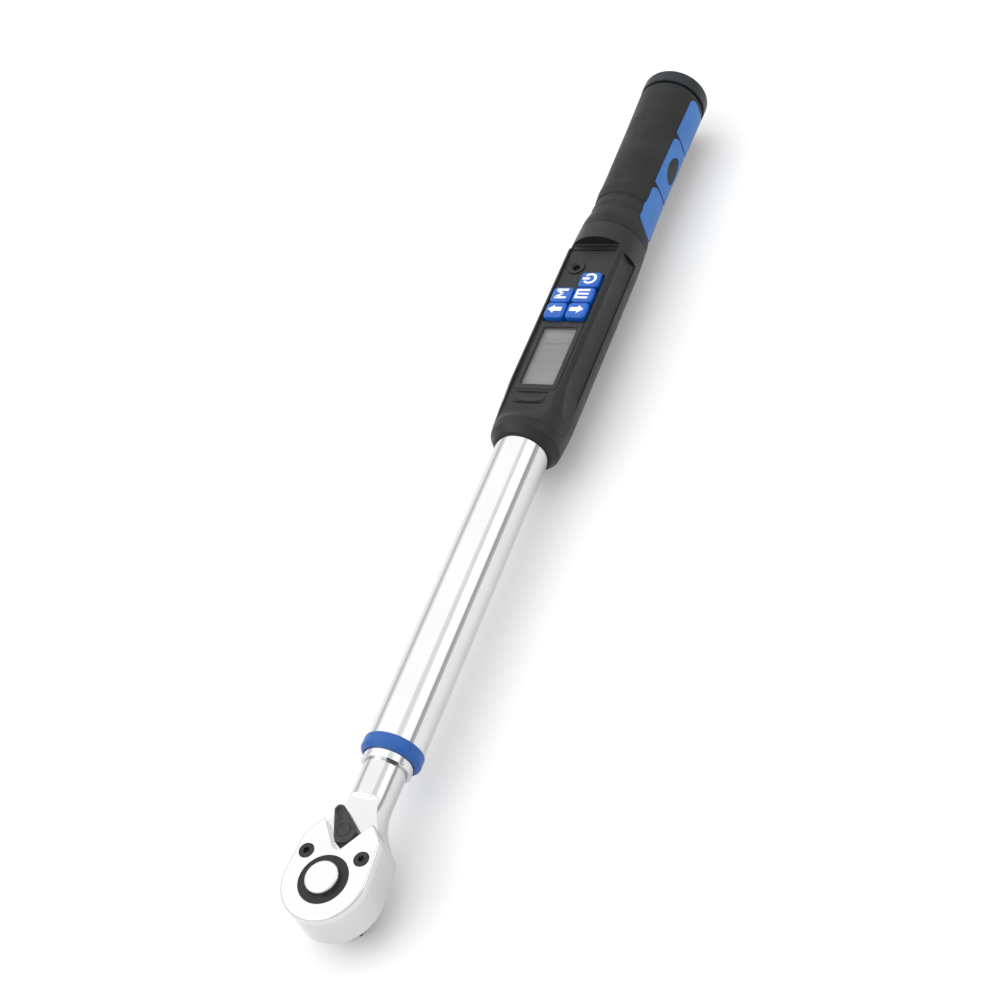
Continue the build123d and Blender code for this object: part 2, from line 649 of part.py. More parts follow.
def top_cover():
    """Upper half of the housing: flat deck, side rails, openings and screw bosses."""
    cover = housing_outside() & cover_window(SEAM_GAP)
    cover = cover - deck_cutter() - side_panel_cutters()
    cover += side_rails() & cover_window(SEAM_GAP)
    cover -= housing_cavity()
    for x in BOSS_XS:
        post = boss(x, BOSS_Y, SEAM_Z + SEAM_GAP, DECK_Z - WALL + 0.1)
        cover += both_sides(post & box(x - 5, x + 5, 0, 16.0, SEAM_Z, DECK_Z))
        cover -= both_sides(rod_z(x, BOSS_Y, SEAM_Z, SEAM_Z + 8, 1.25))
    cover -= slab(Pos(sum(FRAME_X) / 2, 0) * RectangleRounded(
        FRAME_X[1] - FRAME_X[0] + 0.3, 2 * FRAME_HALF_WIDTH + 0.3, 2.2), DECK_Z - WALL - 1, DECK_Z + 1)
    cover -= keypad_opening()
    cover -= rod_z(*BUZZER_XY, DECK_Z - 4, DECK_Z + 1, 4.4)
    return cover - crescent(284.2, 2.0) - crescent(277.0, 1.8) - rear_groove()


def lower_housing():
    """Lower half of the housing, with the full nose ring, rear dome and screw bosses."""
    shell = housing_outside() - cover_window(0.0) - deck_cutter() - housing_cavity() - rear_groove()
    shell -= rod_x(CAVITY_END_X - 1, HOUSING_END_X, CORE_RADIUS + 0.1, z=TUBE_Z)
    shell -= front_seal()
    for x in BOSS_XS:
        post = boss(x, BOSS_Y, TUBE_Z - 13, SEAM_Z)
        hole = rod_z(x, BOSS_Y, 0, SEAM_Z, 1.5) + rod_z(x, BOSS_Y, 0, TUBE_Z - 8, 2.7)
        shell += both_sides(post + rod_z(x, BOSS_Y, TUBE_Z - 13, TUBE_Z - 6, 3.9) & housing_outside())
        shell -= both_sides(hole)
    return shell


def front_seal():
    """Rubber ring between the housing's mouth and the tube."""
    return rod_x(258, 261, 15.4) - rod_x(258, 261, TUBE_RADIUS + 0.02)


def housing_screws():
    """Four screws that hold the two halves together, from below."""
    screws = Part()
    for x in BOSS_XS:
        head = rod_z(x, BOSS_Y, TUBE_Z - 10.2, TUBE_Z - 8, 2.5)
        socket = six_lobe(x, BOSS_Y, TUBE_Z - 10.3, TUBE_Z - 9)
        screws += both_sides(head - socket + rod_z(x, BOSS_Y, TUBE_Z - 8, SEAM_Z + 7, 1.22))
    return screws


# ---------------------------------------------------------------- display and keys

def rounded_slab(x0, x1, half_width, radius, z0, z1):
    """Rounded rectangular plate centred on the wrench."""
    plan = Pos((x0 + x1) / 2, 0) * RectangleRounded(x1 - x0, 2 * half_width, radius)
    return slab(plan, z0, z1)


def lcd_frame():
    """Bezel round the display."""
    frame = rounded_slab(*FRAME_X, FRAME_HALF_WIDTH, 2.0, DECK_Z - WALL, DECK_Z + 0.25)
    frame = fillet(frame.faces().sort_by(Axis.Z)[-1].edges(), 0.4)
    return frame - rounded_slab(*LCD_X, LCD_HALF_WIDTH, 0.8, DECK_Z - WALL, DECK_Z + 1)


def lcd_window():
    """Clear window in the bezel."""
    return rounded_slab(*LCD_X, LCD_HALF_WIDTH, 0.8, DECK_Z - 1.2, DECK_Z - 0.35)


def lcd_panel():
    """Liquid crystal panel under the window."""
    return box(LCD_X[0] - 1.5, LCD_X[1] + 2.5, -11.2, 11.2, BOARD_TOP + 1.8, DECK_Z - WALL - 0.1)


def lcd_connectors():
    """Two rubber contact strips between the panel and the board."""
    top = BOARD_TOP + 1.8
    front = box(LCD_X[0] - 1, LCD_X[0] + 1, -10, 10, BOARD_TOP, top)
    return front + box(LCD_X[1], LCD_X[1] + 2, -10, 10, BOARD_TOP, top)


def badge_plate():
    """Plain lens-shaped plate in front of the display."""
    half, x0, x1, bulge = 8.0, 278.4, 281.6, 1.2
    front = ThreePointArc((x0, -half), (x0 - bulge, 0), (x0, half))
    rear = ThreePointArc((x1, half), (x1 - bulge, 0), (x1, -half))
    ends = [Line((x0, half), (x1, half)), Line((x1, -half), (x0, -half))]
    plate = slab(make_face([front, rear, *ends]), DECK_Z, DECK_Z + 0.35)
    return fillet(plate.edges().filter_by(Axis.Z), 0.9)


def key_cap(x, y):
    """One soft-cornered key."""
    cap = slab(Pos(x, y) * RectangleRounded(KEY_LENGTH, KEY_WIDTH, 2.2), KEY_BOTTOM, KEY_TOP)
    return fillet(cap.faces().sort_by(Axis.Z)[-1].edges(), 1.7)


def keypad_mat():
    """Rubber mat under the keys."""
    return rounded_slab(334.6, 369.6, 12.6, 1.5, BOARD_TOP + 0.8, KEY_BOTTOM - 1.0)


def dome_switches():
    """One metal snap dome on the board under each key."""
    domes = Part()
    for x, y in key_centres().values():
        domes += rod_z(x, y, BOARD_TOP, BOARD_TOP + 0.5, 2.6)
    return domes


def circuit_board():
    """Main board."""
    return rounded_slab(*BOARD_X, BOARD_HALF_WIDTH, 1.0, BOARD_TOP - BOARD_THICKNESS, BOARD_TOP)


def board_chips():
    """Components under the board."""
    z1 = BOARD_TOP - BOARD_THICKNESS
    places = [(300, 8, 6), (318, 5, 4), (338, 10, 10), (356, 6, 5), (368, 5, 8)]
    chips = [box(x, x + length, -width / 2, width / 2, z1 - 1.2, z1) for x, length, width in places]
    return sum(chips[1:], chips[0])


def buzzer():
    """Sounder on the board under its grille."""
    return rod_z(*BUZZER_XY, BOARD_TOP, DECK_Z - WALL - 0.1, 4.2)


def buzzer_ring():
    """Rubber ring round the sounder's hole in the deck."""
    x, y = BUZZER_XY
    ring = rod_z(x, y, DECK_Z - WALL, DECK_Z, 4.38) + rod_z(x, y, DECK_Z, DECK_Z + 0.8, 4.9)
    ring = fillet(ring.faces().sort_by(Axis.Z)[-1].edges(), 0.5)
    dish = Pos(x, y, DECK_Z + 5.3) * Sphere(5.7)
    return ring - dish - rod_z(x, y, DECK_Z - WALL, DECK_Z + 1, BUZZER_HOLE_RADIUS)


def battery_connector():
    """Plug block under the rear of the board."""
    return box(378, BOARD_X[1], -4, 4, 30.1, BOARD_TOP - BOARD_THICKNESS)


def battery_leads():
    """Two insulated leads: one to the front contact, one to the steel core."""
    positive = rod_x(BOARD_X[1], BATTERY_BORE_X + 1.2, 0.8, y=LEAD_Y, z=LEAD_Z)
    return positive + rod_x(BOARD_X[1], CORE_START_X, 0.8, y=-LEAD_Y, z=LEAD_Z)


# ---------------------------------------------------------------- handle

def grip_segment(x0, x1, bulge, front_bulge):
    """Side outline (x, z) of one insert segment: both ends bow towards the head."""
    h = INSERT_HALF_HEIGHT
    front = ThreePointArc((x0, TUBE_Z - h), (x0 - front_bulge, TUBE_Z), (x0, TUBE_Z + h))
    rear = ThreePointArc((x1, TUBE_Z + h), (x1 - bulge, TUBE_Z), (x1, TUBE_Z - h))
    top = Line((x0, TUBE_Z + h), (x1, TUBE_Z + h))
    low = Line((x1, TUBE_Z - h), (x0, TUBE_Z - h))
    face = Sketch() + make_face([front, top, rear, low])
    corners = face.vertices().group_by(Axis.X)[-1]
    return fillet(corners, 3.0)


def insert_window():
    """Side outline of the three segments, with the oval thumb mark left out of the middle one."""
    bulge = 3.2
    window = grip_segment(421.5, 446.8, bulge, 8.6)
    window += grip_segment(448.2, 487.6, bulge, bulge)
    window += grip_segment(489.0, 520.4, bulge, bulge)
    return window - Pos(466, TUBE_Z) * Ellipse(9.6, 5.6)


def insert_pocket():
    """Space that the right-hand insert fills, open outwards."""
    block = extrude(Plane.XZ * insert_window(), amount=30)
    return block - rod_x(400, 530, INSERT_INNER_RADIUS, z=TUBE_Z)


def insert_skin():
    """Form that the inserts' outer faces follow, just proud of the grip."""
    return turned_x([
        (408, 0), (408, 19.3), (414, 19.0), (424, 18.4), (440, 18.2), (452, 18.2), (490, 18.65),
        (GRIP_END_X, 19.3), (GRIP_END_X, 0),
    ], TUBE_Z, [(3, 20.0), (4, 20.0), (6, 60.0)])


def grip_insert_right():
    """Soft coloured insert on the -Y side of the grip."""
    return insert_pocket() & insert_skin()


def left_insert_pocket():
    """Space for the left-hand insert, which sits lower, under the fingers."""
    turned = insert_pocket().rotate(Axis((0, 0, TUBE_Z), (1, 0, 0)), -LEFT_INSERT_DROP)
    return mirror(turned, about=Plane.XZ)


def grip_insert_left():
    """The matching insert on the +Y side."""
    return left_insert_pocket() & insert_skin()


def grip_sleeve():
    """Rubber grip: flared shoulder, two neck bands and a long barrel."""
    sleeve = turned_x([
        (GRIP_START_X, CORE_RADIUS), (GRIP_START_X, 19.2), (412.6, 18.9), (420.6, 17.4),
        (424.2, 17.7), (428.4, 17.2), (430.2, 16.9), (431.2, 17.7), (437.2, 18.1), (441.4, 17.8),
        (452, 17.8), (490, 18.3), (GRIP_END_X, 19.0), (GRIP_END_X, 17.8), (523.2, 17.8),
        (523.2, CORE_RADIUS),
    ], TUBE_Z, [
        (1, 0.6), (2, 4.0), (3, 3.0), (4, 2.0), (7, 0.4), (8, 3.0), (9, 4.0), (12, 0.8),
    ])
    return sleeve - insert_pocket() - left_insert_pocket()


def battery_sleeve():
    """Plastic liner of the battery tube."""
    x0, x1 = BATTERY_BORE_X + 1.2, THREAD_START_X - 0.4
    return rod_x(x0, x1, BATTERY_BORE - 0.05, z=TUBE_Z) - rod_x(x0, x1, 7.45, z=TUBE_Z)


def batteries():
    """Two AA cells in line."""
    start, length, nub = BATTERY_BORE_X + 3.4, 49.2, 1.0
    cells = Part()
    for cell in range(2):
        x = start + cell * (length + nub)
        cells += rod_x(x, x + nub, 2.6, z=TUBE_Z) + rod_x(x + nub, x + nub + length, 7.2, z=TUBE_Z)
    return cells


def contact_insulator():
    """Plastic disc between the core and the front contact."""
    disc = rod_x(BATTERY_BORE_X, BATTERY_BORE_X + 1.2, BATTERY_BORE - 0.05, z=TUBE_Z)
    return disc - rod_x(BATTERY_BORE_X, BATTERY_BORE_X + 1.2, 0.95, y=LEAD_Y, z=LEAD_Z)


def front_contact():
    """Brass contact for the first cell."""
    x = BATTERY_BORE_X + 1.2
    return rod_x(x, x + 0.8, 7.4, z=TUBE_Z) + rod_x(x + 0.8, x + 2.2, 2.2, z=TUBE_Z)


# ---------------------------------------------------------------- battery cap

def battery_cap():
    """Screw cap with a hollow threaded spigot."""
    return turned_x([
        (CAP_START_X, 12.4), (CAP_START_X, CAP_RADIUS), (CAP_END_X, CAP_RADIUS), (CAP_END_X - 0.01, 13.0),
        (CAP_END_X - 1.0, 12.0), (CAP_END_X - 1.0, 0), (522.8, 0), (522.8, 8.2), (SPIGOT_START_X, 8.2),
        (SPIGOT_START_X, SPIGOT_RADIUS), (CORE_END_X + 0.4, SPIGOT_RADIUS), (CORE_END_X + 0.4, 12.4),
    ], TUBE_Z, [(1, 0.8), (2, 2.5)])


def cap_o_ring():
    """Sealing ring on the end of the core, inside the cap."""
    section_circle = Plane.XZ * Pos(526.5, TUBE_Z + 11.75) * Circle(0.55)
    return revolve(section_circle, Axis((0, 0, TUBE_Z), (1, 0, 0)))


def cap_contact_disc():
    """Contact disc that the cap pushes on; it doesn't turn with the cap."""
    return rod_x(521.4, 522.5, 7.6, z=TUBE_Z)


def contact_spring():
    """Coil spring between the last cell and the contact disc."""
    spring = Rot(0, 90, 0) * coil(5.0, 0.4, 4.6, 3)
    return Pos(516.4, 0, TUBE_Z) * spring


PIECES = [
    ratchet_head, head_cover_plate, cover_screws, drive_gear, lower_retaining_ring,
    quick_release_button, release_pin, button_spring, retaining_ball, pawl, pawl_pin, pawl_cover,
    reversing_lever, lever_circlip, pawl_plunger, plunger_spring,
    tube_end_collar, collar_key, blue_ring, tube, beam_pin, strain_beam, strain_gauges, tube_rear_bush,
    sensor_cable, handle_core, lower_housing, top_cover, front_seal, housing_screws,
    lcd_frame, lcd_window, lcd_panel, lcd_connectors, badge_plate, keypad_mat, dome_switches,
    circuit_board, board_chips, buzzer, buzzer_ring, battery_connector, battery_leads,
    grip_sleeve, grip_insert_left, grip_insert_right, battery_sleeve, batteries,
    contact_insulator, front_contact, battery_cap, cap_o_ring, cap_contact_disc, contact_spring,
]


def main():
    os.makedirs("parts", exist_ok=True)
    for piece in PIECES:
        export_step(piece(), f"parts/{piece.__name__}.step")
    for name, (x, y) in key_centres().items():
        export_step(key_cap(x, y), f"parts/{name}.step")


main()
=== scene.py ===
import json
import math

import bpy
import bmesh
from mathutils import Matrix, Vector

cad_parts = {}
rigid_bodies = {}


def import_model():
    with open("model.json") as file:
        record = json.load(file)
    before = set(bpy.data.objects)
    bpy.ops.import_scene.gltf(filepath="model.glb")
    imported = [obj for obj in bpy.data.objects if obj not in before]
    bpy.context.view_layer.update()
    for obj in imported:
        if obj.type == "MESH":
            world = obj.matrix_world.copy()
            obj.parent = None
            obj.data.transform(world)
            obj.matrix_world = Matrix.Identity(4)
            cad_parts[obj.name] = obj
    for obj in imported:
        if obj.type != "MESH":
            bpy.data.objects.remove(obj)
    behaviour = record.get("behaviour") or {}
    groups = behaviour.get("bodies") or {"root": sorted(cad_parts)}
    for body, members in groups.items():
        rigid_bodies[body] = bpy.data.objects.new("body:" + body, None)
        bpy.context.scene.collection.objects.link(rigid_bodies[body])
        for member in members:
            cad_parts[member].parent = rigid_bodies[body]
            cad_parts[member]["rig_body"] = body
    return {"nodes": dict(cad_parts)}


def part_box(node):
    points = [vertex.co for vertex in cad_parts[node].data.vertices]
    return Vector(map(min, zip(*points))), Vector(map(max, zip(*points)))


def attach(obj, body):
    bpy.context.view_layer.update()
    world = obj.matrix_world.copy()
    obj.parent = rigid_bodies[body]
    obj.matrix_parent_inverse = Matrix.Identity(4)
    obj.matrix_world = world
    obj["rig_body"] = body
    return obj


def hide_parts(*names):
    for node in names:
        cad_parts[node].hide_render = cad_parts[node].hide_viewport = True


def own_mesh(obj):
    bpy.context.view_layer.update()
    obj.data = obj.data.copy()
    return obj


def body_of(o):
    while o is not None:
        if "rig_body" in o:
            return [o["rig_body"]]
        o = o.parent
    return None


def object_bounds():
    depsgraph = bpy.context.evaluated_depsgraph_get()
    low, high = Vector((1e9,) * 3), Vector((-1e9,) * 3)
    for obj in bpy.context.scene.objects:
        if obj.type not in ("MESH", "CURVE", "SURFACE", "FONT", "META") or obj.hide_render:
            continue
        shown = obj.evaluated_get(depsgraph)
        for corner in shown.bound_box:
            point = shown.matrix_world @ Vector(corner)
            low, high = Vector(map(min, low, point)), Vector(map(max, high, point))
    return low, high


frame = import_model()
cad_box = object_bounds()
MM = 0.001
BEVEL_SAMPLES = 6
INK_THICKNESS = 0.04 * MM
INK_SINK = 0.01 * MM          # how far a mark's underside sits in the face below it
KEY_MARK_SCALE = 1.1
FLOOR_GAP = 0.4 * MM

# Camera above the head's front right, looking along the wrench.
CAMERA_PLACE = (-0.3113, -0.4386, 0.7053)
CAMERA_FORWARD = (0.5514, 0.4538, -0.7000)
CAMERA_UP = (0.7659, 0.0572, 0.6404)
CAMERA_LENS = 69.9
CAMERA_SENSOR = 36

# Brightness of the room: (place from 0 to 1, level), by height of the direction and from -Y to +Y.
ROOM_BY_HEIGHT = ((0.0, 0.80), (0.09, 0.95), (0.15, 0.68), (0.21, 0.72), (0.28, 1.0), (0.36, 1.2),
                  (0.46, 1.5))
ROOM_BY_SIDE = ((0.18, 0.72), (0.26, 0.78), (0.30, 0.62), (0.325, 0.84), (0.345, 0.64), (0.39, 1.0))


# ---------------------------------------------------------------- material tools

class Look:
    """A procedural material built round one Principled shader; coordinates are metres in the row frame."""

    def __init__(self, name, color, **sockets):
        self.mat = bpy.data.materials.new(name)
        self.mat.use_nodes = True
        self.tree = self.mat.node_tree
        self.shader = self.tree.nodes["Principled BSDF"]
        self.shader.inputs["Base Color"].default_value = (*color, 1)
        self.mat.diffuse_color = (*color, 1)
        for key, value in sockets.items():
            self.shader.inputs[key.replace("_", " ")].default_value = value
        self.coords = self.add("ShaderNodeTexCoord").outputs["Object"]
        self.height = None

    def add(self, kind, **inputs):
        node = self.tree.nodes.new(kind)
        for key, value in inputs.items():
            self.put(value, node.inputs[key.replace("_", " ")])
        return node

    def put(self, value, socket):
        if isinstance(value, bpy.types.NodeSocket):
            self.tree.links.new(value, socket)
        else:
            socket.default_value = value

    def stretched(self, scale):
        """Coordinates squeezed along some axes, for brushed or drawn grain."""
        return self.add("ShaderNodeMapping", Vector=self.coords, Scale=scale).outputs["Vector"]

    def noise(self, size_mm, detail=3.0, coords=None):
        """Noise whose features are about this large."""
        node = self.add("ShaderNodeTexNoise", Vector=coords or self.coords, Scale=1 / (size_mm * MM),
                        Detail=detail, Roughness=0.5)
        return node.outputs["Fac"]

    def cells(self, size_mm):
        """Distance to the nearest point of a scatter about this far apart."""
        node = self.add("ShaderNodeTexVoronoi", Vector=self.coords, Scale=1 / (size_mm * MM))
        return node.outputs["Distance"]

    def spread(self, value, low, high, out_low, out_high):
        node = self.add("ShaderNodeMapRange", Value=value)
        limits = {"From Min": low, "From Max": high, "To Min": out_low, "To Max": out_high}
        for key, number in limits.items():
            node.inputs[key].default_value = number
        return node.outputs["Result"]

    def math(self, operation, first, second):
        node = self.tree.nodes.new("ShaderNodeMath")
        node.operation = operation
        self.put(first, node.inputs[0])
        self.put(second, node.inputs[1])
        return node.outputs["Value"]

    def mix(self, factor, first, second):
        node = self.tree.nodes.new("ShaderNodeMix")
        node.data_type = "RGBA"
        self.put(factor, node.inputs["Factor"])
        self.put(first, node.inputs[6])
        self.put(second, node.inputs[7])
        return node.outputs[2]

    def rough(self, low, high, size_mm, detail=4.0):
        """Roughness that drifts between two values."""
        drift = self.spread(self.noise(size_mm, detail), 0.3, 0.7, low, high)
        self.put(drift, self.shader.inputs["Roughness"])
        return self

    def bump(self, height, depth_mm, strength=1.0):
        """Adds one layer of relief of about this depth."""
        node = self.add("ShaderNodeBump", Height=height, Strength=strength, Distance=depth_mm * MM)
        if self.height is not None:
            self.tree.links.new(self.height, node.inputs["Normal"])
        self.height = node.outputs["Normal"]
        self.tree.links.new(self.height, self.shader.inputs["Normal"])
        return self

    def soft_edges(self, radius_mm):
        """Rounds the edges a little, as a mould or a polishing wheel does."""
        bevel = self.add("ShaderNodeBevel", Radius=radius_mm * MM)
        bevel.samples = BEVEL_SAMPLES
        self.height = bevel.outputs["Normal"]
        self.tree.links.new(self.height, self.shader.inputs["Normal"])
        return self

    def edge_mask(self, radius_mm, gain):
        """White along edges, black elsewhere."""
        wide = self.add("ShaderNodeBevel", Radius=radius_mm * MM)
        wide.samples = BEVEL_SAMPLES
        flat = self.add("ShaderNodeNewGeometry").outputs["Normal"]
        dot = self.tree.nodes.new("ShaderNodeVectorMath")
        dot.operation = "DOT_PRODUCT"
        self.tree.links.new(wide.outputs["Normal"], dot.inputs[0])
        self.tree.links.new(flat, dot.inputs[1])
        return self.spread(dot.outputs["Value"], 1.0, 1.0 - 1.0 / gain, 0.0, 1.0)

    def painted_edge_highlight(self, color, radius_mm=0.5, gain=4.0, amount=0.5, patch_mm=6.0):
        """Painted edge highlight: blends the edges towards another colour, in patches."""
        base = self.shader.inputs["Base Color"]
        now = base.links[0].from_socket if base.links else tuple(base.default_value)
        patches = self.spread(self.noise(patch_mm, 5), 0.35, 0.7, 0.2, 1.0)
        mask = self.math("MULTIPLY", self.edge_mask(radius_mm, gain), patches)
        self.put(self.mix(self.math("MULTIPLY", mask, amount), now, (*color, 1)), base)
        return self

    def mottle(self, color, size_mm, low=0.4, high=0.7, amount=0.5, detail=4.0, coords=None):
        """Drifts the base colour towards another."""
        base = self.shader.inputs["Base Color"]
        now = base.links[0].from_socket if base.links else tuple(base.default_value)
        factor = self.spread(self.noise(size_mm, detail, coords=coords), low, high, 0.0, amount)
        self.put(self.mix(factor, now, (*color, 1)), base)
        return self


# ---------------------------------------------------------------- materials

def chrome(name, polish=0.05, waviness=0.02, tint=(0.66, 0.662, 0.667)):
    look = Look(name, tint, Metallic=1.0, Roughness=polish)
    look.soft_edges(0.35)
    look.rough(polish * 0.7, polish * 1.6, 9)
    look.mottle(tuple(0.925 * c for c in tint), 30, amount=0.5)
    look.bump(look.noise(14, 2), waviness)
    look.bump(look.noise(0.35, 2, coords=look.stretched((0.05, 1, 1))), 0.0006)
    return look.mat


def black_oxide(name, color=(0.010, 0.0105, 0.012), roughness=0.42):
    look = Look(name, color, Metallic=0.0, Roughness=roughness, Specular_IOR_Level=0.3)
    look.soft_edges(0.2)
    look.rough(roughness * 0.8, roughness * 1.25, 2.5)
    look.mottle((0.020, 0.020, 0.022), 5, amount=0.6)
    # painted highlight: the edges are lightened in patches
    look.painted_edge_highlight((0.16, 0.16, 0.165), 0.3, 5, 0.4, 3)
    look.bump(look.noise(0.25, 3), 0.006)
    return look.mat


def cast_lever(name):
    look = Look(name, (0.017, 0.0173, 0.018), Metallic=0.1, Roughness=0.36, Specular_IOR_Level=0.4)
    look.soft_edges(0.5)
    look.rough(0.30, 0.48, 1.5)
    look.mottle((0.034, 0.034, 0.036), 3.5, 0.35, 0.65, 0.8)
    # painted highlight: the edges are lightened in patches
    look.painted_edge_highlight((0.09, 0.09, 0.094), 0.5, 4, 0.6, 2.5)
    look.bump(look.noise(0.3, 4), 0.02)
    return look.mat


def ground_steel(name, color=(0.42, 0.42, 0.43), roughness=0.28):
    look = Look(name, color, Metallic=1.0, Roughness=roughness)
    look.soft_edges(0.15)
    grain = look.noise(0.2, 4, coords=look.stretched((0.08, 1, 1)))
    drift = look.spread(grain, 0.3, 0.7, roughness * 0.7, roughness * 1.4)
    look.put(drift, look.shader.inputs["Roughness"])
    look.bump(grain, 0.003)
    return look.mat


def moulded(name, color, lighter, roughness=0.42, grain_mm=0.45, grain_depth=0.018, edge=0.35):
    """Satin moulding with a fine spark-eroded texture."""
    look = Look(name, color, Roughness=roughness, Specular_IOR_Level=0.3)
    look.soft_edges(edge)
    look.rough(roughness * 0.88, roughness * 1.15, 8)
    look.mottle(lighter, 22, amount=0.35)
    look.mottle(lighter, 0.9, 0.45, 0.75, 0.4)
    # painted highlight: the edges are lightened in patches
    look.painted_edge_highlight(lighter, 0.6, 3, 0.8, 9)
    look.bump(look.noise(grain_mm, 3), grain_depth)
    look.bump(look.cells(grain_mm * 0.8), grain_depth * 0.35)
    return look.mat


def soft_grip(name, color, lighter, roughness=0.62):
    """Thermoplastic rubber: matt, with a pebbled skin and a faint bloom."""
    look = Look(name, color, Roughness=roughness, Specular_IOR_Level=0.25, Sheen_Weight=0.05,
                Sheen_Roughness=0.4)
    look.soft_edges(0.5)
    look.rough(roughness * 0.85, roughness * 1.12, 12)
    look.mottle(lighter, 26, amount=0.4)
    look.mottle(lighter, 0.7, 0.5, 0.8, 0.5)
    # painted highlight: the edges are lightened in patches
    look.painted_edge_highlight(lighter, 0.9, 3, 0.7, 10)
    look.bump(look.cells(0.55), 0.03)
    look.bump(look.noise(0.3, 2), 0.012)
    return look.mat


def rubber(name):
    look = Look(name, (0.018, 0.018, 0.019), Roughness=0.6)
    look.soft_edges(0.2)
    look.rough(0.5, 0.7, 2)
    look.mottle((0.04, 0.04, 0.042), 1.2, amount=0.6)
    look.bump(look.noise(0.25, 3), 0.015)
    return look.mat


def ring_blue(name):
    look = Look(name, (0.013, 0.090, 0.33), Roughness=0.38, Specular_IOR_Level=0.3)
    look.soft_edges(0.4)
    look.rough(0.28, 0.42, 5)
    look.mottle((0.02, 0.10, 0.35), 9, amount=0.5)
    # painted highlight: the edges are lightened in patches
    look.painted_edge_highlight((0.07, 0.20, 0.50), 0.7, 3, 0.6, 6)
    look.bump(look.noise(0.3, 3), 0.010)
    return look.mat


def key_blue(name):
    """Tinted resin key: deep blue under a clear coat, with a painted highlight that pales it towards its
    edges.
    """
    look = Look(name, (0.002, 0.080, 0.40), Roughness=0.25, Specular_IOR_Level=0.3, Coat_Weight=0.25,
                Coat_Roughness=0.05)
    look.soft_edges(0.4)
    look.rough(0.20, 0.32, 4)
    look.mottle((0.004, 0.14, 0.55), 6, amount=0.5)
    look.painted_edge_highlight((0.05, 0.24, 0.66), 1.3, 2.2, 0.8, 8)
    look.bump(look.noise(0.4, 2), 0.006)
    return look.mat


def plastic(name, color, roughness=0.35, metallic=0.0):
    look = Look(name, color, Roughness=roughness, Metallic=metallic)
    look.rough(roughness * 0.8, roughness * 1.25, 3)
    look.mottle(tuple(min(1, c * 1.5 + 0.01) for c in color), 4, amount=0.5)
    look.bump(look.noise(0.3, 3), 0.008)
    return look.mat


def lcd_glass(name):
    look = Look(name, (0.30, 0.31, 0.30), Roughness=0.06, Alpha=0.12)
    look.rough(0.04, 0.09, 12)
    look.bump(look.noise(8, 2), 0.01)
    return look.mat


def lcd_grey(name):
    """Reflective panel: a grey-green film with a fine cell grid and a slow drift in tone."""
    look = Look(name, (0.210, 0.217, 0.213), Roughness=0.45, Specular_IOR_Level=0.3)
    look.mottle((0.262, 0.269, 0.265), 18, amount=0.8, detail=2)
    look.mottle((0.183, 0.189, 0.186), 0.4, 0.5, 0.8, 0.35)
    look.rough(0.4, 0.5, 6)
    look.bump(look.noise(0.2, 2), 0.004)
    return look.mat


def board_green(name):
    look = Look(name, (0.012, 0.10, 0.045), Roughness=0.32)
    look.mottle((0.02, 0.18, 0.08), 1.5, 0.5, 0.56, 0.8, coords=look.stretched((0.2, 1, 1)))
    look.rough(0.26, 0.4, 3)
    look.bump(look.noise(0.6, 2), 0.02)
    return look.mat


def marking(name, color, roughness=0.45):
    """Printed ink, a little worn."""
    look = Look(name, color, Roughness=roughness)
    look.mottle(tuple(c * 0.72 for c in color), 0.9, 0.5, 0.8, 0.6)
    look.rough(roughness * 0.8, roughness * 1.2, 1.5)
    look.bump(look.noise(0.2, 2), 0.004)
    return look.mat


def floor_look():
    look = Look("floor_paper", (0.84, 0.84, 0.84), Roughness=0.9)
    look.mottle((0.83, 0.83, 0.83), 60, amount=0.6)
    look.bump(look.noise(0.8, 3), 0.01)
    return look.mat


